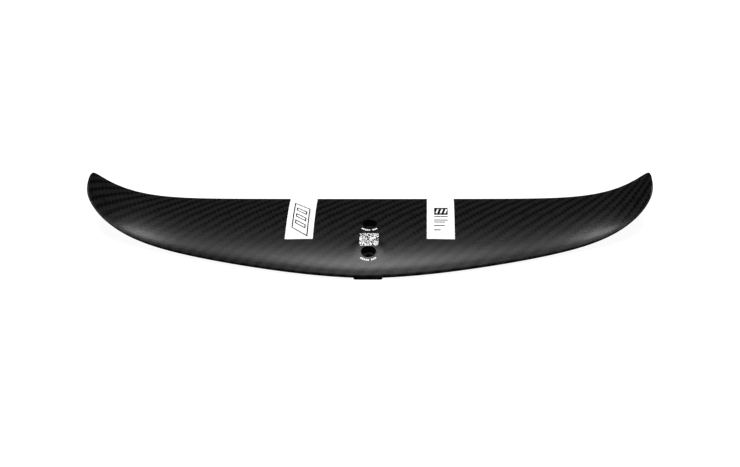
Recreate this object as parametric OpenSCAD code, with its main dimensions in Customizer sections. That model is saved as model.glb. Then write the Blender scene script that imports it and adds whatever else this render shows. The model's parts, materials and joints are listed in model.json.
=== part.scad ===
// Rear wing (stabiliser) of a hydrofoil board: a crescent-shaped moulded carbon wing.
// Frame: +X along the span, +Y towards the trailing edge, +Z up.
// Origin: on the flat bottom face of the mounting pad, midway between the two screw holes.
// The laminate pieces are blocks of one grid of span stations, chord stations and height
// levels, so neighbouring pieces meet face to face.

/* [Planform] */
// Tip-to-tip span
span = 400; // [300:10:500]
// Chord on the centreline
root_chord = 90; // [86:1:110]
// Distance that the point of each tip lies forward of the trailing edge
tip_setback = 12; // [8:1:20]
// Height that the tips rise above the middle
tip_rise = 26.5; // [0:0.5:40]
// How late along the span the tips turn up
tip_bend = 8.6; // [4:0.2:12]

/* [Section] */
// Height of the top surface above the chord line at the root
crown_height = 7.5; // [6.5:0.1:9]
// Depth of the bottom surface below the chord line at the root
belly_depth = 1.5; // [1.2:0.1:1.6]
// Thickness of the trailing edge at the root
edge_thick = 0.8; // [0.4:0.1:1.2]
// Thickness of each skin at the root
skin_thick = 0.9; // [0.6:0.1:1.2]
// Thickness of each spar cap at the root
cap_thick = 0.7; // [0.4:0.1:1]

/* [Mounting] */
// Distance between the centres of the two screw holes
hole_spacing = 30; // [28:0.5:32]
// Distance from the trailing edge forward to the rear screw hole
rear_hole_in = 39; // [37:0.5:41]
// Diameter of the clearance hole for an M6 screw
hole_d = 6.6; // [6.4:0.1:7]
// Diameter of the recess for the screw head
recess_d = 10.2; // [10:0.1:11]
// Height of the recess floor above the pad's bottom face
recess_floor = 3.5; // [3:0.1:4]
// Width of the mounting pad
pad_width = 20; // [16:0.5:24]
// Length of the mounting pad
pad_length = 66; // [60:1:70]
// Cut-off of the pad's corners
pad_chamfer = 1; // [0.5:0.1:4]
// Height of the chord line above the pad's bottom face
pad_drop = 2; // [2:0.1:3]
// Distance from the nose back to the front end of the pad
pad_setback = 0.6; // [0.4:0.1:3]

/* [Markings] */
// Thickness of the printed films
film_thick = 0.12; // [0.1:0.01:0.2]
// Width of each white strip
strip_width = 19.5; // [15:0.1:25]
// Length of each white strip from the trailing edge
strip_length = 55.8; // [30:0.1:60]
// Distance from the centreline to the middle of the left strip
left_strip_out = 49.0; // [40:0.1:55]
// Distance from the centreline to the middle of the right strip
right_strip_out = 49.9; // [40:0.1:55]
// Side of the square patch between the screw holes
patch_side = 13.3; // [10:0.1:15]
// Distance from the trailing edge forward to the middle of the patch
patch_in = 57; // [55:0.5:58]
// Radius of the printed arc in front of each screw hole
arc_radius = 7.7; // [7:0.1:8]
// Width of the line of each arc
arc_line = 1.3; // [1:0.1:2]
// Angle that each arc covers
arc_angle = 92; // [60:2:140]

/* [Hidden] */
$fn = 64;
tiny = 0.0001;
far = 60;
half_span = span / 2;
trailing_y = rear_hole_in + hole_spacing / 2;
nose_y = trailing_y - root_chord;
front_hole_y = -hole_spacing / 2;
rear_hole_y = hole_spacing / 2;
patch_y = trailing_y - patch_in;

// Planform exponents: the nose line is the mean of a long sweep and a round tip,
// and the trailing edge is straight with a small round corner.
sweep_start = 1.7;
sweep_depth = 1.5;
round_start = 6.5;
round_depth = 0.3;
corner_start = 110;
corner_depth = 0.25;
// Part of the tip rise that is an even curve over the whole span
even_rise = 0.03;
// The planform is cut off this close to the tip, where the tip face stands
tip_cut = 0.9995;

// Growth of the top surface's height along the chord, which moves its crest back
crown_growth = 1.2;
// Peaks of sqrt(s) (1 - s) (1 + crown_growth s) and of sqrt(s) (1 - s)
crown_peak = 0.568;
belly_peak = 0.385;

// Numbers of span cells on each side and of chord cells, and the chord stations' spread
span_cells = 20;
chord_cells = 20;
nose_spread = 1.6;
// Grid lines where the pieces meet
block_i = 1;
tip_i = 8;
filler_j = 4;
strip_j = 18;
cap_front_j = 10;
cap_rear_j = 13;
print_j = 8;
front_print_j = 5;
strip_i = 6;
// How fast the two skins take up the whole depth towards the nose and the trailing edge
nose_feather = 8;
edge_feather = 4;

// Height levels of the grid, from the pad's bottom face up to the top of the films
FLOOR = 0;
BOTTOM = 1;
BOTTOM_INNER = 2;
CORE_LOW = 3;
CORE_HIGH = 4;
TOP_INNER = 5;
TOP = 6;
FILM = 7;

CARBON = [0.06, 0.06, 0.065];
SOLID_CARBON = [0.14, 0.14, 0.15];
TAPE = [0.2, 0.2, 0.22];
FOAM = [0.93, 0.85, 0.62];
WHITE = [0.95, 0.95, 0.95];

// Planform
function reach(x) = min(abs(x) / half_span, tip_cut);
function rounded(r, start, depth) = pow(1 - pow(r, start), depth);
function nose_shape(r) =
    (rounded(r, sweep_start, sweep_depth) + rounded(r, round_start, round_depth)) / 2;
function front_y(x) =
    trailing_y - tip_setback - (root_chord - tip_setback) * nose_shape(reach(x));
function back_y(x) =
    trailing_y - tip_setback * (1 - rounded(reach(x), corner_start, corner_depth));
function chord(x) = back_y(x) - front_y(x);
function rise(x) = let (r = abs(x) / half_span)
    tip_rise * ((1 - even_rise) * pow(r, tip_bend) + even_rise * r * r);

// Section: heights above the chord line, for a chord fraction s from the nose
function crown(s) =
    crown_height / crown_peak * sqrt(s) * (1 - s) * (1 + crown_growth * s) + edge_thick / 2 * s;
function belly(s) = belly_depth / belly_peak * sqrt(s) * (1 - s) + edge_thick / 2 * s;
function depth(s) = crown(s) + belly(s);
// Share of the section's depth that each skin takes: both meet at the nose and trailing edge
deepest = crown_height + belly_depth;
function skin_share(s) =
    min(0.5, max(skin_thick / deepest, 0.5 - s * nose_feather, 0.5 - (1 - s) * edge_feather));
// Share that each spar cap takes, feathered to nothing at its edges
function cap_share(i, j) =
    (j > cap_front_j && j < cap_rear_j && abs(i) < tip_i) ? cap_thick / deepest : 0;

function level_share(i, j, level, share) =
    level == BOTTOM ? 0 :
    level == BOTTOM_INNER ? share :
    level == CORE_LOW ? share + cap_share(i, j) :
    level == CORE_HIGH ? 1 - share - cap_share(i, j) :
    level == TOP_INNER ? 1 - share : 1;

// Grid
function station_x(i) = half_span * sin(90 * i / span_cells);
function station_s(j) = pow(j / chord_cells, nose_spread);
function grid_point(i, j, level) =
    let (x = station_x(i), s = station_s(j), c = chord(x), scale_c = c / root_chord)
    let (share = level_share(i, j, level, skin_share(s)))
    let (z = pad_drop + rise(x) + scale_c * (depth(s) * share - belly(s)))
    [x, front_y(x) + s * c, level == FLOOR ? 0 : level == FILM ? z + film_thick : z];

function no_repeats(face) =
    [for (k = [0:len(face) - 1]) if (face[k] != face[(k + 1) % len(face)]) face[k]];

// One closed block of the grid between two height levels; where the two levels meet,
// they share their points
module block(i0, i1, j0, j1, low, high) {
    rows = i1 - i0 + 1;
    cols = j1 - j0 + 1;
    count = rows * cols;
    lows = [for (i = [i0:i1], j = [j0:j1]) grid_point(i, j, low)];
    highs = [for (i = [i0:i1], j = [j0:j1]) grid_point(i, j, high)];
    shared = [for (k = [0:count - 1]) norm(highs[k] - lows[k]) < tiny];
    function upper(i, j) = (i - i0) * cols + j - j0;
    function lower(i, j) = let (k = upper(i, j)) shared[k] ? k : k + count;
    // The diagonals mirror each other on the two sides of the span
    function cell(a, b, c, d, i) = i < 0 ? [[a, b, d], [b, c, d]] : [[a, b, c], [a, c, d]];
    top = [for (i = [i0:i1 - 1], j = [j0:j1 - 1])
        each cell(upper(i, j), upper(i, j + 1), upper(i + 1, j + 1), upper(i + 1, j), i)];
    under = [for (i = [i0:i1 - 1], j = [j0:j1 - 1])
        each cell(lower(i, j), lower(i, j + 1), lower(i + 1, j + 1), lower(i + 1, j), i)];
    // A face whose points are all shared has no thickness behind it
    skins = [for (face = concat(top, [for (f = under) [f[2], f[1], f[0]]]))
        if (len([for (k = face) if (!shared[k % count]) k]) > 0) face];
    ends = [for (j = [j0:j1 - 1]) each [
        [upper(i0, j + 1), upper(i0, j), lower(i0, j), lower(i0, j + 1)],
        [upper(i1, j), upper(i1, j + 1), lower(i1, j + 1), lower(i1, j)]]];
    sides = [for (i = [i0:i1 - 1]) each [
        [upper(i, j0), upper(i + 1, j0), lower(i + 1, j0), lower(i, j0)],
        [upper(i + 1, j1), upper(i, j1), lower(i, j1), lower(i + 1, j1)]]];
    walls = [for (face = concat(ends, sides)) let (f = no_repeats(face)) if (len(f) > 2) f];
    polyhedron(points = concat(highs, lows), faces = concat(skins, walls), convexity = 6);
}

// Cuts the two screw holes and their head recesses out of a piece
module drilled() {
    difference() {
        children();
        for (y = [front_hole_y, rear_hole_y])
            translate([0, y, 0]) {
                translate([0, 0, -far]) cylinder(h = 2 * far, d = hole_d);
                translate([0, 0, recess_floor]) cylinder(h = far, d = recess_d);
            }
    }
}

// Keeps only the part of a piece above a flat outline
module cut_to_outline() {
    intersection() {
        children(0);
        translate([0, 0, -far]) linear_extrude(2 * far) children(1);
    }
}

module upper_skin() {
    color(CARBON) drilled()
        block(-span_cells, span_cells, 0, chord_cells, TOP_INNER, TOP);
}

module lower_skin() {
    color(CARBON) drilled()
        block(-span_cells, span_cells, 0, chord_cells, BOTTOM, BOTTOM_INNER);
}

module pad_outline() {
    w = pad_width / 2;
    y0 = nose_y + pad_setback;
    y1 = y0 + pad_length;
    polygon([[w - pad_chamfer, y0], [w, y0 + pad_chamfer], [w, y1 - pad_chamfer],
             [w - pad_chamfer, y1], [pad_chamfer - w, y1], [-w, y1 - pad_chamfer],
             [-w, y0 + pad_chamfer], [pad_chamfer - w, y0]]);
}

module mounting_pad() {
    color(SOLID_CARBON) drilled() cut_to_outline() {
        block(-block_i, block_i, 0, strip_j, FLOOR, BOTTOM);
        pad_outline();
    }
}

module centre_block() {
    color(SOLID_CARBON) drilled()
        block(-block_i, block_i, filler_j, strip_j, CORE_LOW, CORE_HIGH);
}

module left_core() {
    color(FOAM) block(-tip_i, -block_i, filler_j, strip_j, CORE_LOW, CORE_HIGH);
}

module right_core() {
    color(FOAM) block(block_i, tip_i, filler_j, strip_j, CORE_LOW, CORE_HIGH);
}

module upper_spar_cap() {
    color(TAPE) block(-tip_i, tip_i, cap_front_j, cap_rear_j, CORE_HIGH, TOP_INNER);
}

module lower_spar_cap() {
    color(TAPE) block(-tip_i, tip_i, cap_front_j, cap_rear_j, BOTTOM_INNER, CORE_LOW);
}

module leading_edge_filler() {
    color(TAPE) block(-tip_i, tip_i, 0, filler_j, BOTTOM_INNER, TOP_INNER);
}

module trailing_edge_strip() {
    color(TAPE) block(-tip_i, tip_i, strip_j, chord_cells, BOTTOM_INNER, TOP_INNER);
}

module left_tip_block() {
    color(SOLID_CARBON) block(-span_cells, -tip_i, 0, chord_cells, BOTTOM_INNER, TOP_INNER);
}

module right_tip_block() {
    color(SOLID_CARBON) block(tip_i, span_cells, 0, chord_cells, BOTTOM_INNER, TOP_INNER);
}

// Printed film over a flat outline on the top surface
module film(i0, i1, j0) {
    color(WHITE) cut_to_outline() {
        block(i0, i1, j0, chord_cells, TOP, FILM);
        children();
    }
}

module strip_outline(x) {
    translate([x - strip_width / 2, trailing_y - strip_length])
        square([strip_width, strip_length + tiny]);
}

module left_strip() {
    film(-strip_i, -block_i, print_j) strip_outline(-left_strip_out);
}

module right_strip() {
    film(block_i, strip_i, print_j) strip_outline(right_strip_out);
}

module patch() {
    film(-block_i, block_i, front_print_j)
        translate([0, patch_y]) square(patch_side, center = true);
}

// Arc that faces the nose, centred on a screw hole
module arc_outline(y) {
    translate([0, y]) rotate(-90 - arc_angle / 2)
        difference() {
            intersection() {
                circle(arc_radius + arc_line / 2);
                sector(2 * arc_radius, arc_angle);
            }
            circle(arc_radius - arc_line / 2);
        }
}

// Pie slice of a given radius that starts along +X
module sector(r, angle) {
    polygon([[0, 0], for (k = [0:4]) r * [cos(angle * k / 4), sin(angle * k / 4)]]);
}

module front_hole_arc() {
    film(-block_i, block_i, front_print_j) arc_outline(front_hole_y);
}

module rear_hole_arc() {
    film(-block_i, block_i, print_j) arc_outline(rear_hole_y);
}

upper_skin();
lower_skin();
mounting_pad();
centre_block();
left_core();
right_core();
upper_spar_cap();
lower_spar_cap();
leading_edge_filler();
trailing_edge_strip();
left_tip_block();
right_tip_block();
left_strip();
right_strip();
patch();
front_hole_arc();
rear_hole_arc();
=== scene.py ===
import json
import math

import bmesh
import bpy
import numpy as np
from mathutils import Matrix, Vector


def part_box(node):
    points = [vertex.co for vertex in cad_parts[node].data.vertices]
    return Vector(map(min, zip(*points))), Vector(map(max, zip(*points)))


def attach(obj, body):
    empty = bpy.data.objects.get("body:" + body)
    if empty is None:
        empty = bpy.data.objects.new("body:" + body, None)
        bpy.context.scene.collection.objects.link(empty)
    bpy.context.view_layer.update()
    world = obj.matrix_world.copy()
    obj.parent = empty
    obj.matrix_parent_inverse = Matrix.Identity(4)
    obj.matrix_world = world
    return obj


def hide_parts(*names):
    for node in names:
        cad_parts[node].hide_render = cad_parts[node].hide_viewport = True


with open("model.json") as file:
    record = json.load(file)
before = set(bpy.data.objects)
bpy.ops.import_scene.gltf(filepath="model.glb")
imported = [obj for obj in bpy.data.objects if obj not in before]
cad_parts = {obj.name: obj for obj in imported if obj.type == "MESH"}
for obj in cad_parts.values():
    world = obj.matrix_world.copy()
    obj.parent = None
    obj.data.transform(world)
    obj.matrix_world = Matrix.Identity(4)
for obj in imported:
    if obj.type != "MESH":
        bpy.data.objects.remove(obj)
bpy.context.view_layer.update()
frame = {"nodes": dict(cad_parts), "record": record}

# Everything is in metres, in the frame of the CAD: +X along the span, +Y towards the trailing
# edge, +Z up, with the origin on the mounting pad's bottom face, between the screw holes.
MM = 0.001

# ---------------------------------------------------------------- sizes from the frame
skin_low, skin_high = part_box("upper_skin")
pad_low, pad_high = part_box("mounting_pad")
HALF_SPAN = skin_high.x
NOSE_Y = skin_low.y
TRAILING_Y = skin_high.y
ROOT_CHORD = TRAILING_Y - NOSE_Y
# The two skins meet at the nose, on the chord line
CHORD_Z = skin_low.z
MOUNTS = {m["name"]: m for m in frame["record"]["mounts"]}
HOLE_R = MOUNTS["screw_holes"]["dims"]["hole_r_mm"] * MM
SPACING = MOUNTS["screw_holes"]["dims"]["spacing_y_mm"] * MM
RECESS_R = MOUNTS["front_head_recess"]["dims"]["r_mm"] * MM
HOLES_Y = (-SPACING / 2, SPACING / 2)

# ---------------------------------------------------------------- the wing's formulas
# The same planform, rise and section as the CAD, with the tips and the edges rounded off
TIP_SETBACK = 12 * MM
TIP_RISE = 26.5 * MM
TIP_BEND = 8.6
# Share of the rise that is spread evenly over the span
EVEN_RISE = 0.03
# Start and depth of the curves that shape the nose line, and of the rear corner at the tip
SWEEP = (1.7, 1.5)
ROUND = (6.5, 0.3)
CORNER = (110, 0.25)
# Heights over and under the chord line, each divided by the peak of its own section curve
CROWN_GROWTH = 1.2
CROWN_PEAK = 0.568
CROWN = 7.5 * MM / CROWN_PEAK
BELLY_PEAK = 0.385
BELLY = 1.5 * MM / BELLY_PEAK
HALF_EDGE = 0.4 * MM
# A skin takes this share of the depth, rising to half the depth at the nose and trailing edge
SKIN_SHARE = 0.1
NOSE_FEATHER = 8
EDGE_FEATHER = 4
# Just short of the very tip, where the chord would be zero
TIP_REACH = 1 - 1e-6
# Lengths over which the tips and the trailing edge round off
TIP_ROUND = 1.5 * MM
EDGE_ROUND = 1.0 * MM
# Land round the front screw recess, which leans forward more than the skin about it
LAND_R = (7.5 * MM, 14.5 * MM)
LAND_LEAN = math.tan(math.radians(2))
LAND_LIFT = 0.25 * MM
# Rounding of each recess's lip
LIP = 0.12 * MM


def reach(x):
    return np.minimum(np.abs(x) / HALF_SPAN, TIP_REACH)


def rounded(r, shape):
    start, depth = shape
    return (1 - r**start) ** depth


def front_y(x):
    r = reach(x)
    nose_shape = (rounded(r, SWEEP) + rounded(r, ROUND)) / 2
    return TRAILING_Y - TIP_SETBACK - (ROOT_CHORD - TIP_SETBACK) * nose_shape


def back_y(x):
    return TRAILING_Y - TIP_SETBACK * (1 - rounded(reach(x), CORNER))


def chord(x):
    return back_y(x) - front_y(x)


def rise(x):
    r = reach(x)
    return TIP_RISE * ((1 - EVEN_RISE) * r**TIP_BEND + EVEN_RISE * r * r)


def end_round(distance, length):
    """1 away from an edge, and down to 0 at it along a quarter circle."""
    q = np.clip(1 - distance / length, 0, 1)
    return np.sqrt(1 - q * q)


def crown(s):
    return CROWN * np.sqrt(s) * (1 - s) * (1 + CROWN_GROWTH * s)


def belly(s):
    return BELLY * np.sqrt(s) * (1 - s)


def smooth(t):
    t = np.clip(t, 0, 1)
    return t * t * (3 - 2 * t)


def levels(x, y):
    """Heights of the outer top, inner top, inner bottom and outer bottom surfaces."""
    c = chord(x)
    s = np.clip((y - front_y(x)) / c, 0, 1)
    size = c / ROOT_CHORD * end_round(HALF_SPAN - np.abs(x), TIP_ROUND)
    edge = HALF_EDGE * s * end_round((1 - s) * c, EDGE_ROUND)
    middle = CHORD_Z + rise(x)
    upper = middle + size * (crown(s) + edge)
    bottom = middle - size * (belly(s) + edge)
    back = y - HOLES_Y[0]
    near = smooth((LAND_R[1] - np.hypot(x, back)) / (LAND_R[1] - LAND_R[0]))
    top = upper + near * (LAND_LIFT + LAND_LEAN * back)
    share = np.maximum(0.5 - s * NOSE_FEATHER, 0.5 - (1 - s) * EDGE_FEATHER)
    share = np.clip(share, SKIN_SHARE, 0.5)
    depth = upper - bottom
    return top, upper - share * depth, bottom + share * depth, bottom


TOP, TOP_INNER, BOTTOM_INNER, BOTTOM = range(4)


def surface(level):
    return lambda x, y: levels(x, y)[level]


SLOPE_STEP = 0.01 * MM


def above_top(x, y, lift):
    """Points at a distance over the top surface, along its normal."""
    top = surface(TOP)
    slope_x = (top(x + SLOPE_STEP, y) - top(x - SLOPE_STEP, y)) / (2 * SLOPE_STEP)
    slope_y = (top(x, y + SLOPE_STEP) - top(x, y - SLOPE_STEP)) / (2 * SLOPE_STEP)
    normal = np.stack([-slope_x, -slope_y, np.ones_like(slope_x)], -1)
    normal /= np.linalg.norm(normal, axis=-1, keepdims=True)
    return np.stack([x, y, top(x, y)], -1) + lift * normal


# ---------------------------------------------------------------- mesh helpers
# Points closer than these are joined, over a piece and at the very ends of the span
WELD = 0.0001 * MM
END_REACH = 0.001 * MM
END_WELD = 0.01 * MM
# Edges that turn by more degrees than this stay sharp
SHARP = 35
# Stations along the span: fine over the holes, even outboard, and finer towards the tips
FINE_STEP = 0.9 * MM
MIDDLE_STATIONS = 15
OUTER_STATIONS = 58
TIP_STATIONS = 70
TIP_START = 0.75 * HALF_SPAN
TIP_CROWDING = 1.8
# Stations along the chord, crowded at the nose, with a turn round the trailing edge
CHORD_STATIONS = 81
NOSE_CROWDING = 1.7
TAIL_STATIONS = 7
TAIL_SPACE = 0.005


def span_stations():
    """Fine even steps over the screw holes, wider ones outboard and fine ones round the tips."""
    middle = np.arange(MIDDLE_STATIONS) * FINE_STEP
    even = np.linspace(0, 1, OUTER_STATIONS)[1:]
    outer = middle[-1] + (TIP_START - middle[-1]) * even
    crowded = 1 - (1 - np.linspace(0, 1, TIP_STATIONS)[1:]) ** TIP_CROWDING
    tip = TIP_START + (HALF_SPAN - TIP_START) * crowded
    half = np.concatenate([middle, outer, tip])
    return np.concatenate([-half[:0:-1], half])


def chord_stations():
    """Fine steps at the nose and round the trailing edge."""
    main = np.linspace(0, 1, CHORD_STATIONS) ** NOSE_CROWDING
    turn = np.linspace(0, math.pi / 2, TAIL_STATIONS)
    tail = 1 - (1 - np.sin(turn)) * EDGE_ROUND / ROOT_CHORD
    return np.concatenate([main[main < tail[0] - TAIL_SPACE], tail])


XS = span_stations()
SS = chord_stations()
ARC_LENGTH = np.concatenate([[0], np.cumsum(np.hypot(np.diff(XS), np.diff(rise(XS))))])
ALONG = ARC_LENGTH - np.interp(0, XS, ARC_LENGTH)


def cloth_place(x, y):
    """Distance along the cloth from the centreline, and from the trailing edge."""
    return np.interp(x, XS, ALONG), y - TRAILING_Y


def ring_quads(a, b):
    """Faces between two closed rings of points."""
    return [(a[k], a[k - 1], b[k - 1], b[k]) for k in range(len(a))]


def grid_quads(g):
    """Faces of a grid of points."""
    rows, cols = g.shape
    return [(g[a, b], g[a + 1, b], g[a + 1, b + 1], g[a, b + 1])
            for a in range(rows - 1) for b in range(cols - 1)]


def weld_points(bm):
    """Joins points that coincide, and those a little farther apart at the ends of the span."""
    ends = [v for v in bm.verts if abs(v.co.x) > HALF_SPAN - END_REACH]
    bmesh.ops.remove_doubles(bm, verts=ends, dist=END_WELD)
    bmesh.ops.remove_doubles(bm, verts=bm.verts, dist=WELD)
    bmesh.ops.dissolve_degenerate(bm, edges=bm.edges, dist=WELD)


class Shell:
    """Collects the points and faces of one piece; each face keeps its material's number."""

    def __init__(self):
        self.points = []
        self.count = 0
        self.faces = []
        self.inks = []

    def add(self, points):
        """Adds points, and returns their numbers in the same arrangement."""
        points = np.asarray(points, float)
        numbers = self.count + np.arange(points[..., 0].size).reshape(points.shape[:-1])
        self.points.append(points.reshape(-1, 3))
        self.count += numbers.size
        return numbers

    def fill(self, faces, ink=0):
        self.faces += [tuple(map(int, f)) for f in faces]
        self.inks += [ink] * len(faces)

    def build(self, name, materials, caps=()):
        mesh = bpy.data.meshes.new(name)
        mesh.from_pydata(np.concatenate(self.points).tolist(), [], self.faces)
        for face, ink in zip(mesh.polygons, self.inks):
            face.material_index = ink
        bm = bmesh.new()
        bm.from_mesh(mesh)
        bm.verts.ensure_lookup_table()
        for loops in caps:
            edges = [bm.edges.get((bm.verts[loop[k - 1]], bm.verts[loop[k]]))
                     for loop in loops for k in range(len(loop))]
            bmesh.ops.triangle_fill(bm, edges=edges, use_beauty=True, normal=(0, 0, 1))
        weld_points(bm)
        bmesh.ops.delete(bm, geom=[v for v in bm.verts if not v.link_faces], context="VERTS")
        bmesh.ops.recalc_face_normals(bm, faces=bm.faces)
        for edge in bm.edges:
            edge.smooth = edge.is_manifold and edge.calc_face_angle(0) < math.radians(SHARP)
        places = np.array([v.co for v in bm.verts])
        along, across = cloth_place(places[:, 0], places[:, 1])
        uv = bm.loops.layers.uv.new("weave")
        for face in bm.faces:
            face.smooth = True
            for loop in face.loops:
                k = loop.vert.index
                loop[uv].uv = (along[k], across[k])
        bm.to_mesh(mesh)
        bm.free()
        for material in materials:
            mesh.materials.append(material)
        piece = bpy.data.objects.new(name, mesh)
        bpy.context.scene.collection.objects.link(piece)
        return piece


# ---------------------------------------------------------------- skins
# Half width of the square window round each hole, and the rings that fill it
HOLE_WINDOW = 10 * MM
HOLE_RINGS = 14
LIP_RINGS = 6


def hole_patch(shell, X, Y, index, window, height, hole_y, radius, lip):
    """Rings from a square window of the grid down to a round hole; returns the last ring."""
    i0, i1, j0, j1 = window
    border = ([(a, j0) for a in range(i0, i1)] + [(i1, b) for b in range(j0, j1)]
              + [(a, j1) for a in range(i1, i0, -1)] + [(i0, b) for b in range(j1, j0, -1)])
    a, b = np.array(border).T
    bx, by = X[a, b], Y[a, b]
    angle = np.arctan2(by - hole_y, bx)
    rings = [index[a, b]]
    edge_x = (radius + lip) * np.cos(angle)
    edge_y = hole_y + (radius + lip) * np.sin(angle)
    for t in np.linspace(0, 1, HOLE_RINGS)[1:]:
        px = bx * (1 - t) + edge_x * t
        py = by * (1 - t) + edge_y * t
        rings.append(shell.add(np.stack([px, py, height(px, py)], -1)))
    edge_z = height(edge_x, edge_y)
    for turn in np.linspace(0, math.pi / 2, LIP_RINGS)[1:] if lip else ():
        r = radius + lip * (1 - math.sin(turn))
        z = edge_z - lip * (1 - math.cos(turn))
        rings.append(shell.add(np.stack([r * np.cos(angle), hole_y + r * np.sin(angle), z], -1)))
    for outer, inner in zip(rings, rings[1:]):
        shell.fill(ring_quads(outer, inner))
    return rings[-1]


def sheet(shell, height, radius, lip):
    """One surface of a skin; returns the ring of points at the wall of each screw hole."""
    X = np.repeat(XS[:, None], len(SS), 1)
    Y = front_y(X) + SS[None] * chord(X)
    index = shell.add(np.stack([X, Y, height(X, Y)], -1))
    cut = np.zeros((len(XS) - 1, len(SS) - 1), bool)
    middle_y = Y[len(XS) // 2]
    walls = []
    for hole_y in HOLES_Y:
        i = np.nonzero(np.abs(XS) <= HOLE_WINDOW)[0]
        j = np.nonzero(np.abs(middle_y - hole_y) <= HOLE_WINDOW)[0]
        window = i[0], i[-1], j[0], j[-1]
        cut[i[0]:i[-1], j[0]:j[-1]] = True
        walls.append(hole_patch(shell, X, Y, index, window, height, hole_y, radius, lip))
    faces = np.array(grid_quads(index))
    shell.fill(faces[~cut.ravel()])
    return walls


def skin(name, outer, inner, radius, lip):
    shell = Shell()
    outer_walls = sheet(shell, surface(outer), radius, lip)
    inner_walls = sheet(shell, surface(inner), radius, 0)
    for a, b in zip(outer_walls, inner_walls):
        shell.fill(ring_quads(a, b))
    return shell.build(name, [TWILL])


# ---------------------------------------------------------------- mounting pad
PAD_CORNER = 1.6 * MM
PAD_BEVEL = 0.2 * MM
PAD_STEPS = 30
CORNER_POINTS = 9
BEVEL_POINTS = 5
HOLE_POINTS = 64


def corner_arc(x, y, turn, grow):
    """Points round one corner of the pad, moved outwards by grow."""
    centre = np.array([x - math.copysign(PAD_CORNER, x), y - math.copysign(PAD_CORNER, y)])
    angle = turn + np.linspace(0, math.pi / 2, CORNER_POINTS)
    return centre + (PAD_CORNER + grow) * np.stack([np.cos(angle), np.sin(angle)], -1)


def pad_ring(grow):
    """Plan points round the pad's outline, moved outwards by grow."""
    corners = [(pad_high.x, pad_high.y), (pad_low.x, pad_high.y),
               (pad_low.x, pad_low.y), (pad_high.x, pad_low.y)]
    arcs = [corner_arc(*c, k * math.pi / 2, grow) for k, c in enumerate(corners)]
    points = []
    for arc_points, after in zip(arcs, arcs[1:] + arcs[:1]):
        # The long sides need points in between, to follow the belly
        a, b = arc_points[-1], after[0]
        points += [arc_points, a + (b - a) * np.linspace(0, 1, PAD_STEPS)[1:-1, None]]
    return np.concatenate(points)


def hole_ring(grow, y):
    """Plan points round a screw hole, whose radius grows."""
    angle = np.linspace(0, 2 * math.pi, HOLE_POINTS + 1)[:-1]
    return (0, y) + (HOLE_R + grow) * np.stack([np.cos(angle), np.sin(angle)], -1)


def pad_wall(shell, plan, bevel, *where):
    """A bevelled wall from the bottom face up to the belly; returns its two end rings."""
    rings = []
    for turn in np.linspace(0, math.pi / 2, BEVEL_POINTS):
        xy = plan(bevel * (1 - math.sin(turn)), *where)
        z = np.full(len(xy), abs(bevel) * (1 - math.cos(turn)))
        rings.append(shell.add(np.column_stack([xy, z])))
    rings.append(shell.add(np.column_stack([xy, surface(BOTTOM)(*xy.T)])))
    for a, b in zip(rings, rings[1:]):
        shell.fill(ring_quads(a, b))
    return rings[0], rings[-1]


def pad_piece(name):
    """The pad, with round corners, small bevels, and a top that fits the belly."""
    shell = Shell()
    walls = [pad_wall(shell, pad_ring, -PAD_BEVEL)]
    walls += [pad_wall(shell, hole_ring, PAD_BEVEL, y) for y in HOLES_Y]
    return shell.build(name, [SOLID], caps=list(zip(*walls)))


# ---------------------------------------------------------------- printed films
INK = 0.03 * MM
# Width of the bare rim behind a film that wraps over the trailing edge
EDGE_LEFT = 0.04 * MM
FILM_STEP = 1.5 * MM
WRAP_POINTS = 8
ARC_POINTS = (3, 9)


def film(shell, outline, lift, thick, ink=0, closed=False):
    """Adds a thin film over the top surface, above a grid of plan points."""
    X, Y = outline
    up = shell.add(above_top(X, Y, lift + thick))
    down = shell.add(above_top(X, Y, lift))
    shell.fill(grid_quads(up) + grid_quads(down), ink)
    if closed:
        for k in (0, -1):
            shell.fill(grid_quads(np.stack([up[:, k], down[:, k]])), ink)
    else:
        rims = [np.concatenate([g[:-1, 0], g[-1, :-1], g[:0:-1, -1], g[0, :0:-1]])
                for g in (up, down)]
        shell.fill(ring_quads(*rims), ink)


def spread(a, b, step=FILM_STEP):
    """Evenly spaced values from a to b, at most about a step apart."""
    return np.linspace(a, b, max(2, math.ceil(abs(b - a) / step) + 1))


def rectangle(x0, x1, y0, y1):
    """Grid of plan points over a rectangle."""
    return np.meshgrid(spread(x0, x1), spread(y0, y1), indexing="ij")


def wrapped_rectangle(x0, x1, y0):
    """Grid of plan points from y0 back to the trailing edge, finer where the edge rounds off."""
    turn = np.linspace(0, math.asin(1 - EDGE_LEFT / EDGE_ROUND), WRAP_POINTS)[1:]
    edge = TRAILING_Y - EDGE_ROUND * (1 - np.sin(turn))
    ys = np.concatenate([spread(y0, TRAILING_Y - EDGE_ROUND), edge])
    return np.meshgrid(spread(x0, x1), ys, indexing="ij")


def leaning(x0, x1, y0, y1, lean):
    """Grid of plan points over a rectangle that leans to the right towards the trailing edge."""
    X, Y = rectangle(x0, x1, y0, y1)
    return X + lean * (Y - y0) / (y1 - y0), Y


def arc(y, radii, span):
    """Grid of plan points over a piece of a ring; angles count from straight ahead."""
    angles = np.radians(np.linspace(*span, ARC_POINTS[1]) - 90)
    R, A = np.meshgrid(np.linspace(*radii, ARC_POINTS[0]), angles, indexing="ij")
    return R * np.cos(A), y + R * np.sin(A)


def slanted(x0, x1, y0, y1, drop):
    """Corners of a parallelogram whose two long sides run along Y; its right side is lower."""
    return [(x0, y0), (x1, y0 - drop), (x1, y1 - drop), (x0, y1)]


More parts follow.
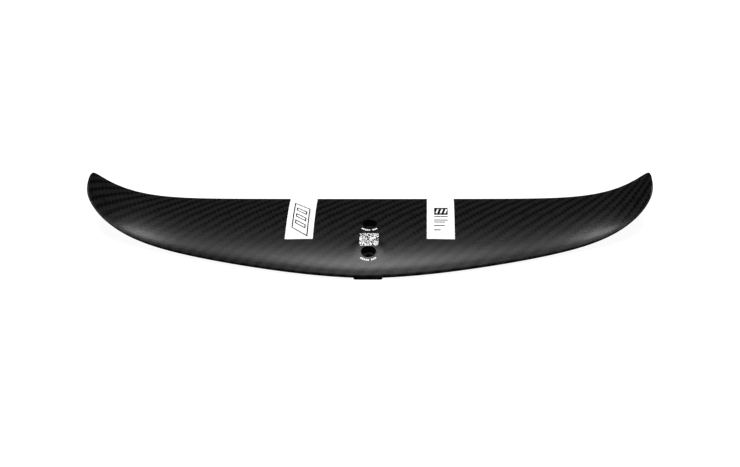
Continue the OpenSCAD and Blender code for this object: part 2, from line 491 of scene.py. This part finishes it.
def ribbon(corners, width):
    """Grid of plan points along a closed line of the given width, with mitred corners."""
    corners = np.array(corners, float)
    sides = zip(corners, np.roll(corners, -1, 0))
    P = np.concatenate([a + (b - a) * spread(0, 1, FILM_STEP / np.hypot(*(b - a)))[:-1, None]
                        for a, b in sides])
    ahead = np.roll(P, -1, 0) - P
    ahead /= np.linalg.norm(ahead, axis=1, keepdims=True)
    behind = np.roll(ahead, 1, 0)
    across = np.stack([-(ahead + behind)[:, 1], (ahead + behind)[:, 0]], -1)
    across *= width / 2 / (1 + (ahead * behind).sum(1))[:, None]
    grid = np.stack([P + across, P - across], 1)
    grid = np.concatenate([grid, grid[:1]])
    return grid[..., 0], grid[..., 1]


# ---------------------------------------------------------------- materials
class Nodes:
    """A material's node tree, with short calls to add nodes."""

    def __init__(self, name):
        self.material = bpy.data.materials.new(name)
        self.material.use_nodes = True
        self.tree = self.material.node_tree
        self.shader = self.tree.nodes["Principled BSDF"]

    def node(self, kind, **inputs):
        made = self.tree.nodes.new("ShaderNode" + kind)
        for name, source in inputs.items():
            self.give(made.inputs[name.replace("_", " ")], source)
        return made

    def give(self, socket, source):
        """Links a source to a socket, or sets the socket's value."""
        if isinstance(source, bpy.types.NodeSocket):
            self.tree.links.new(source, socket)
        else:
            socket.default_value = source

    def set(self, **values):
        for name, source in values.items():
            self.give(self.shader.inputs[name.replace("_", " ")], source)

    def math(self, operation, *inputs):
        made = self.node("Math")
        made.operation = operation
        for socket, source in zip(made.inputs, inputs):
            self.give(socket, source)
        return made.outputs[0]

    def multiply(self, *factors):
        product = factors[0]
        for factor in factors[1:]:
            product = self.math("MULTIPLY", product, factor)
        return product

    def between(self, factor, low, high):
        """A value from low to high as factor goes from 0 to 1."""
        made = self.node("Mix")
        for k, source in zip((0, 2, 3), (factor, low, high)):
            self.give(made.inputs[k], source)
        return made.outputs[0]

    def colour(self, factor, low, high):
        """A colour from low to high as factor goes from 0 to 1."""
        made = self.node("Mix")
        made.data_type = "RGBA"
        for k, source in zip((0, 6, 7), (factor, (*low, 1), (*high, 1))):
            self.give(made.inputs[k], source)
        return made.outputs[2]

    def combine(self, x, y, z=0.0):
        return self.node("CombineXYZ", X=x, Y=y, Z=z).outputs[0]

    def noise(self, vector, scale, detail=2.0):
        return self.node("TexNoise", Vector=vector, Scale=scale, Detail=detail).outputs["Fac"]

    def chance(self, x, seed):
        """A random value for each whole number x."""
        made = self.node("TexWhiteNoise", Vector=self.combine(x, seed))
        made.noise_dimensions = "2D"
        return made.outputs["Value"]

    def bump(self, height, distance, strength):
        made = self.node("Bump", Height=height, Distance=distance, Strength=strength)
        return made.outputs[0]

    def place(self):
        return self.node("TexCoord").outputs["Object"]

    def cloth(self):
        """Places along the cloth and across it."""
        made = self.node("UVMap")
        made.uv_map = "weave"
        return made.outputs[0]

    def parts(self, vector):
        return self.node("SeparateXYZ", Vector=vector).outputs


TOW = 2.5 * MM
# How far the tows wander, in tows, and the scales of the patterns, in cycles per metre
WANDER = 0.3
WANDER_SCALE = 90
FIBRE_SCALE = 900
PATCH_SCALE = 160
# Fibres are this many times finer across a tow than along it
FIBRE = 14.0
SIDE_ROUNDING = 0.6
# Heights of a warp tow between which its dark colour, painted shade, takes over
WARP_COVER = (0.04, 0.3)
# Share of the lighter colour for the weft and for the warp, a painted sheen on the weft and painted
# shade on the warp, and how much it varies
WEFT_WARP_SHEEN = (1.0, 0.03)
# Painted shading: each weft float is painted lighter at its crest than at its ends and sides
WEFT_CREST_SHADING = (0.9, 1.1)
TOW_RANGE = (0.65, 1.35)
FIBRE_RANGE = (0.6, 1.4)
PATCHY = (0.55, 1.45)
# Darkest and lightest carbon colours; the lightest stands for the weft's painted sheen
BLACK_CARBON = (0.0005, 0.0005, 0.0005)
GREY_CARBON = (0.0092, 0.0092, 0.0092)
CARBON_ROUGHNESS = (0.35, 0.6)
CARBON_SPECULAR = 0.1
COAT_ROUGHNESS = 0.315
COAT_IOR = 1.5
WEAVE_DEPTH = 0.12 * MM
WEAVE_STRENGTH = 0.6
# Seeds of the shades of the tows across and along the span
WARP_SEED = 3.0
WEFT_SEED = 7.0


def tow_float(n, run, side_place):
    """Height of a tow over its float of two cells: 0 at the ends and sides, 1 at the crest."""
    crest = n.math("SINE", n.multiply(run, math.pi / 2))
    round_side = n.math("SINE", n.multiply(side_place, math.pi))
    return n.multiply(n.math("MAXIMUM", crest, 0.0), n.math("POWER", round_side, SIDE_ROUNDING))


def twill_run(n, place, other_cell, offset):
    """Place along a tow's repeat of four cells; each tow steps on by one cell."""
    stepped = n.math("SUBTRACT", place, other_cell)
    return n.math("FLOORED_MODULO", n.math("ADD", stepped, offset), 4.0)


def twill_material():
    """2x2 twill of carbon tows under a satin clear coat; the tows along the span are painted lighter, a
    painted sheen, and those across it darker, painted shade.
    """
    n = Nodes("twill_carbon")
    cloth = n.cloth()
    along, across, _ = n.parts(cloth)
    drift = n.between(n.noise(cloth, WANDER_SCALE), -WANDER, WANDER)
    u = n.math("ADD", n.math("DIVIDE", along, TOW), drift)
    v = n.math("SUBTRACT", n.math("DIVIDE", across, TOW), drift)
    cell_u = n.math("FLOOR", u)
    cell_v = n.math("FLOOR", v)
    # The warp runs across the span and the weft along it
    warp_run = twill_run(n, v, cell_u, 1.0)
    weft_run = twill_run(n, u, cell_v, -2.0)
    warp_top = n.math("LESS_THAN", warp_run, 2.0)
    warp = tow_float(n, warp_run, n.math("FRACT", u))
    weft = tow_float(n, weft_run, n.math("FRACT", v))
    height = n.math("MAXIMUM", warp, weft)
    tow = n.between(warp_top, n.chance(cell_v, WEFT_SEED), n.chance(cell_u, WARP_SEED))
    fibre_v = n.noise(n.combine(n.multiply(along, FIBRE), across), FIBRE_SCALE)
    fibre_u = n.noise(n.combine(along, n.multiply(across, FIBRE)), FIBRE_SCALE)
    fibre = n.between(warp_top, fibre_u, fibre_v)
    patchy = n.noise(cloth, PATCH_SCALE, 1.0)
    # Painted sheen and shade: the tows along the span are painted lighter, as if they catch the light,
    # and the tows across it dark, and narrower than the lighter ones
    low, high = WARP_COVER
    cover = n.node("MapRange", Value=warp, From_Min=low, From_Max=high).outputs[0]
    # Each weft float is painted lighter at its crest, painted shading from the tow's curve
    shade = n.multiply(n.between(cover, *WEFT_WARP_SHEEN), n.between(weft, *WEFT_CREST_SHADING),
                       n.between(tow, *TOW_RANGE), n.between(fibre, *FIBRE_RANGE),
                       n.between(patchy, *PATCHY))
    n.set(Base_Color=n.colour(shade, BLACK_CARBON, GREY_CARBON),
          Roughness=n.between(fibre, *CARBON_ROUGHNESS),
          Normal=n.bump(height, WEAVE_DEPTH, WEAVE_STRENGTH),
          Specular_IOR_Level=CARBON_SPECULAR,
          Coat_Weight=1.0, Coat_Roughness=COAT_ROUGHNESS, Coat_IOR=COAT_IOR)
    return n.material


# Solid laminate: how far its grain is stretched along the span and squeezed upwards
SOLID_STRETCH = 0.15
SOLID_SQUEEZE = 4.0
SOLID_SCALE = 1500
SOLID_ROUGHNESS = (0.45, 0.75)
SOLID_SPECULAR = 0.15
SOLID_BUMP = (0.02 * MM, 0.3)
SOLID_GREYS = ((0.0008, 0.0008, 0.0008), (0.004, 0.004, 0.004))
# Greys of the screw bores' walls: the same laminate painted many times lighter, painted light that
# makes the recess walls look lit
BORE_PAINTED_LIT_GREYS = ((0.014, 0.014, 0.014), (0.034, 0.034, 0.034))


def solid_material(name, greys):
    """Machined solid laminate, with faint cut fibres."""
    n = Nodes(name)
    x, y, z = n.parts(n.place())
    stretched = n.combine(n.multiply(x, SOLID_STRETCH), y, n.multiply(z, SOLID_SQUEEZE))
    grain = n.noise(stretched, SOLID_SCALE, 3.0)
    n.set(Base_Color=n.colour(grain, *greys),
          Roughness=n.between(grain, *SOLID_ROUGHNESS),
          Normal=n.bump(grain, *SOLID_BUMP),
          Specular_IOR_Level=SOLID_SPECULAR)
    return n.material


TAPE_STRETCH = 0.02
TAPE_SCALE = 3000
TAPE_ROUGHNESS = (0.35, 0.65)
TAPE_BUMP = (0.03 * MM, 0.5)
TAPE_GREYS = ((0.006, 0.006, 0.0065), (0.04, 0.04, 0.043))


def tape_material():
    """Unidirectional tape: fine straight fibres along the span."""
    n = Nodes("carbon_tape")
    x, y, z = n.parts(n.place())
    grain = n.noise(n.combine(n.multiply(x, TAPE_STRETCH), y, z), TAPE_SCALE)
    n.set(Base_Color=n.colour(grain, *TAPE_GREYS),
          Roughness=n.between(grain, *TAPE_ROUGHNESS),
          Normal=n.bump(grain, *TAPE_BUMP))
    return n.material


FOAM_SCALE = 1600.0
FOAM_ROUGHNESS = 0.85
FOAM_BUMP = (0.2 * MM, 0.6)
FOAM_YELLOWS = ((0.62, 0.52, 0.3), (0.9, 0.82, 0.58))


def foam_material():
    """Closed-cell structural foam."""
    n = Nodes("foam")
    cells = n.node("TexVoronoi", Vector=n.place(), Scale=FOAM_SCALE).outputs["Distance"]
    n.set(Base_Color=n.colour(cells, *FOAM_YELLOWS),
          Roughness=FOAM_ROUGHNESS,
          Normal=n.bump(cells, *FOAM_BUMP))
    return n.material


PRINT_SCALE = 700
PRINT_BUMP = (0.01 * MM, 0.3)
WHITES = ((0.84, 0.84, 0.84), (0.92, 0.92, 0.92))
WHITE_ROUGHNESS = (0.4, 0.52)
BLACKS = ((0.003, 0.003, 0.003), (0.008, 0.008, 0.008))
BLACK_ROUGHNESS = (0.45, 0.57)


def print_material(name, shades, roughness):
    """Screen-printed ink, with a faint mottle."""
    n = Nodes(name)
    mottle = n.noise(n.place(), PRINT_SCALE, 3.0)
    n.set(Base_Color=n.colour(mottle, *shades),
          Roughness=n.between(mottle, *roughness),
          Normal=n.bump(mottle, *PRINT_BUMP))
    return n.material


TWILL = twill_material()
SOLID = solid_material("solid_carbon", SOLID_GREYS)
BORE_PAINTED_LIT = solid_material("bore_carbon_painted_lit", BORE_PAINTED_LIT_GREYS)
TAPE = tape_material()
FOAM = foam_material()
WHITE = print_material("white_print", WHITES, WHITE_ROUGHNESS)
BLACK = print_material("black_print", BLACKS, BLACK_ROUGHNESS)
WHITE_INK, BLACK_INK = range(2)


def finish_piece(piece, slot, *nodes):
    """Gives a new piece its body, and hides the CAD nodes that it stands for."""
    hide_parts(*nodes)
    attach(piece, "root")


def paint_node(node, material):
    """Gives a carried-over CAD node a more detailed material."""
    mesh = frame["nodes"][node].data
    mesh.materials.clear()
    mesh.materials.append(material)


# ---------------------------------------------------------------- laminate pieces
finish_piece(skin("upper_skin_shell", TOP, TOP_INNER, RECESS_R, LIP), "twill_carbon", "upper_skin")
finish_piece(skin("lower_skin_shell", BOTTOM, BOTTOM_INNER, HOLE_R, 0), "twill_carbon", "lower_skin")
finish_piece(pad_piece("mounting_pad_shell"), "solid_carbon", "mounting_pad")
# The centre block, which holds the bore walls, gets the painted-lit copy of the laminate
paint_node("centre_block", BORE_PAINTED_LIT)
for node in ("left_tip_block", "right_tip_block"):
    paint_node(node, SOLID)
for node in ("upper_spar_cap", "lower_spar_cap", "leading_edge_filler", "trailing_edge_strip"):
    paint_node(node, TAPE)
for node in ("left_core", "right_core"):
    paint_node(node, FOAM)


# ---------------------------------------------------------------- printed markings
def finish_print(shell, node):
    finish_piece(shell.build(node + "_film", [WHITE, BLACK]), "white_print", node)


def white_strip(node):
    """A plain white strip that wraps over the trailing edge."""
    low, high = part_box(node)
    shell = Shell()
    film(shell, wrapped_rectangle(low.x, high.x, low.y), 0, INK)
    return shell


def black_lines(shell, outlines, width):
    """Closed black lines printed on a white strip."""
    for corners in outlines:
        film(shell, ribbon(corners, width), INK, INK / 2, BLACK_INK, closed=True)


# A plain slanted frame with three slanted bars in it
FRAME_X = (-54.5 * MM, -43.5 * MM)
FRAME_Y = (11 * MM, 44.5 * MM)
SLANT = 9.5 * MM
BAR_X = (-52.5 * MM, -45.5 * MM)
BAR_STARTS = (16.5 * MM, 25 * MM, 33.5 * MM)
BAR_LENGTH = 3.5 * MM
BAR_SLANT = 0.64 * SLANT
LINE_WIDTH = 0.85 * MM
left = white_strip("left_strip")
lines = [slanted(*FRAME_X, *FRAME_Y, SLANT)]
lines += [slanted(*BAR_X, y, y + BAR_LENGTH, BAR_SLANT) for y in BAR_STARTS]
black_lines(left, lines, LINE_WIDTH)
finish_print(left, "left_strip")

# A black box with three white ticks, and plain rules in front of it
BOX_X = (45.3 * MM, 55 * MM)
BOX_Y = (26.8 * MM, 37 * MM)
TICK_STARTS = (46.3 * MM, 49.3 * MM, 52.3 * MM)
TICK_Y = (29 * MM, 35 * MM)
TICK_WIDTH = 1.2 * MM
TICK_LEAN = 1.2 * MM
RULES_Y = (23.9 * MM, 19.3 * MM, 16.8 * MM, 12.6 * MM, 7.5 * MM)
RULE_LENGTHS = (9.7 * MM, 9.7 * MM, 7.6 * MM, 7.6 * MM, 4.5 * MM)
RULE_WIDTH = 1.1 * MM
right = white_strip("right_strip")
film(right, rectangle(*BOX_X, *BOX_Y), INK, INK / 2, BLACK_INK)
for x in TICK_STARTS:
    film(right, leaning(x, x + TICK_WIDTH, *TICK_Y, TICK_LEAN), 1.5 * INK, INK / 2)
for y, length in zip(RULES_Y, RULE_LENGTHS):
    rule = rectangle(BOX_X[0], BOX_X[0] + length, y, y + RULE_WIDTH)
    film(right, rule, INK, INK / 2, BLACK_INK)
finish_print(right, "right_strip")

# Square patch of small squares set by chance, which stand for no code
low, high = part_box("patch")
CELLS = 21
FILLED = 0.52
CELL_GAP = 0.01 * MM
CELL_SEED = 7
filled = np.random.default_rng(CELL_SEED).random((CELLS, CELLS)) < FILLED
cell_x = np.linspace(low.x, high.x, CELLS + 1)
cell_y = np.linspace(low.y, high.y, CELLS + 1)
patch = Shell()
for a, b in np.argwhere(filled):
    film(patch, rectangle(cell_x[a] + CELL_GAP, cell_x[a + 1] - CELL_GAP,
                          cell_y[b] + CELL_GAP, cell_y[b + 1] - CELL_GAP), 0, INK)
finish_print(patch, "patch")

# Broken arcs in front of the screw holes
ARC_RADII = (7.05 * MM, 8.35 * MM)
DASH_STARTS = (-44, -34, -24, -14, -4, 15, 25, 35)
DASH_ANGLE = 7.5
for node, y in zip(("front_hole_arc", "rear_hole_arc"), HOLES_Y):
    dashes = Shell()
    for start in DASH_STARTS:
        film(dashes, arc(y, ARC_RADII, (start, start + DASH_ANGLE)), 0, INK)
    finish_print(dashes, node)


# ---------------------------------------------------------------- floor, light and camera
PAPER_GLOW = 0.95
PAPER_GREYS = ((0.19, 0.19, 0.19), (0.21, 0.21, 0.21))
PAPER_DARK = (0.03, 0.03, 0.03)
PAPER_GRAIN = 2000


def mix_shaders(n, factor, first, second):
    made = n.node("MixShader", Fac=factor)
    n.tree.links.new(first, made.inputs[1])
    n.tree.links.new(second, made.inputs[2])
    return made.outputs[0]


def paper_material():
    """White paper to the camera and dark to reflections. It lets light and views through from below."""
    n = Nodes("paper")
    glow = n.node("Emission", Strength=PAPER_GLOW).outputs[0]
    grain = n.noise(n.place(), PAPER_GRAIN)
    face = n.node("BsdfDiffuse", Color=n.colour(grain, *PAPER_GREYS)).outputs[0]
    both = n.node("AddShader")
    n.tree.links.new(glow, both.inputs[0])
    n.tree.links.new(face, both.inputs[1])
    dark = n.node("BsdfDiffuse", Color=(*PAPER_DARK, 1)).outputs[0]
    path = n.node("LightPath").outputs
    below = n.node("NewGeometry").outputs["Backfacing"]
    absent = n.math("MAXIMUM", below, path["Is Shadow Ray"])
    seen = mix_shaders(n, path["Is Camera Ray"], dark, both.outputs[0])
    clear = n.node("BsdfTransparent").outputs[0]
    n.tree.links.new(mix_shaders(n, absent, seen, clear),
                     n.tree.nodes["Material Output"].inputs["Surface"])
    return n.material


FLOOR_HALF = 12.0

floor_mesh = bpy.data.meshes.new("floor")
corners = [(-1, -1), (1, -1), (1, 1), (-1, 1)]
floor_mesh.from_pydata([(x * FLOOR_HALF, y * FLOOR_HALF, 0) for x, y in corners], [], [range(4)])
floor_mesh.materials.append(paper_material())
floor = bpy.data.objects.new("floor", floor_mesh)
bpy.context.scene.collection.objects.link(floor)


def area_light(name, direction, distance, size, power):
    """A rectangular light at a distance along a direction, which faces the wing."""
    light = bpy.data.lights.new(name, "AREA")
    light.shape = "RECTANGLE"
    light.size, light.size_y = size
    light.energy = power
    ob = bpy.data.objects.new(name, light)
    bpy.context.scene.collection.objects.link(ob)
    ob.location = Vector(direction).normalized() * distance
    ob.rotation_euler = (-ob.location).to_track_quat("-Z", "Y").to_euler()
    return ob


def overhead(angle, lateral):
    """Direction at an angle over from the front horizon, and at an angle to the right."""
    a = math.radians(angle)
    b = math.radians(lateral)
    return math.sin(b), -math.cos(b) * math.cos(a), math.cos(b) * math.sin(a)


# Each light: direction, distance, size and power. A long one behind the zenith gives the streak
# ahead of the holes, and a wide one its soft front half.
STREAK = (overhead(114.1, -2.3), 5, (1.325, 0.773), 41)
ZENITH = (overhead(87.55, 1), 5, (2.81, 1.37), 20)
# The fill brings the white prints up to white without showing in the gloss
FILL = ((0, 0.2, 1), 3, (2, 2), 115)
# A light under the floor, which lets it through, shows the wing's underside
UNDER = ((0, 0.3, -1), 3, (3, 2), 90)
area_light("streak", *STREAK)
area_light("zenith", *ZENITH)
fill = area_light("fill", *FILL)
fill.visible_glossy = False
under = area_light("below", *UNDER)
under.visible_camera = False

# The room is white to the camera and dark to reflections
ROOM_WHITE = (1, 1, 1, 1)
ROOM_DARK = (0.012, 0.012, 0.012, 1)
world = bpy.data.worlds.new("studio")
bpy.context.scene.world = world
world.use_nodes = True
room = world.node_tree
dark_room = room.nodes["Background"]
dark_room.inputs["Color"].default_value = ROOM_DARK
white_room = room.nodes.new("ShaderNodeBackground")
white_room.inputs["Color"].default_value = ROOM_WHITE
either = room.nodes.new("ShaderNodeMixShader")
room.links.new(room.nodes.new("ShaderNodeLightPath").outputs["Is Camera Ray"], either.inputs[0])
room.links.new(dark_room.outputs[0], either.inputs[1])
room.links.new(white_room.outputs[0], either.inputs[2])
room.links.new(either.outputs[0], room.nodes["World Output"].inputs["Surface"])

bpy.context.scene.view_settings.view_transform = "Standard"

# The camera stands square to the span, a little to the right of the middle
CAMERA_ELEVATION = 38
CAMERA_PLACE = (0.0418, -0.822, 0.6546)
CAMERA_SENSOR = 36
CAMERA_LENS = 73
CAMERA_SHIFT = -0.08
camera = bpy.data.objects.new("camera", bpy.data.cameras.new("camera"))
bpy.context.scene.collection.objects.link(camera)
camera.data.sensor_width = CAMERA_SENSOR
camera.data.lens = CAMERA_LENS
camera.data.shift_x = CAMERA_SHIFT
camera.location = CAMERA_PLACE
camera.rotation_euler = (math.radians(90 - CAMERA_ELEVATION), 0, 0)
bpy.context.scene.camera = camera
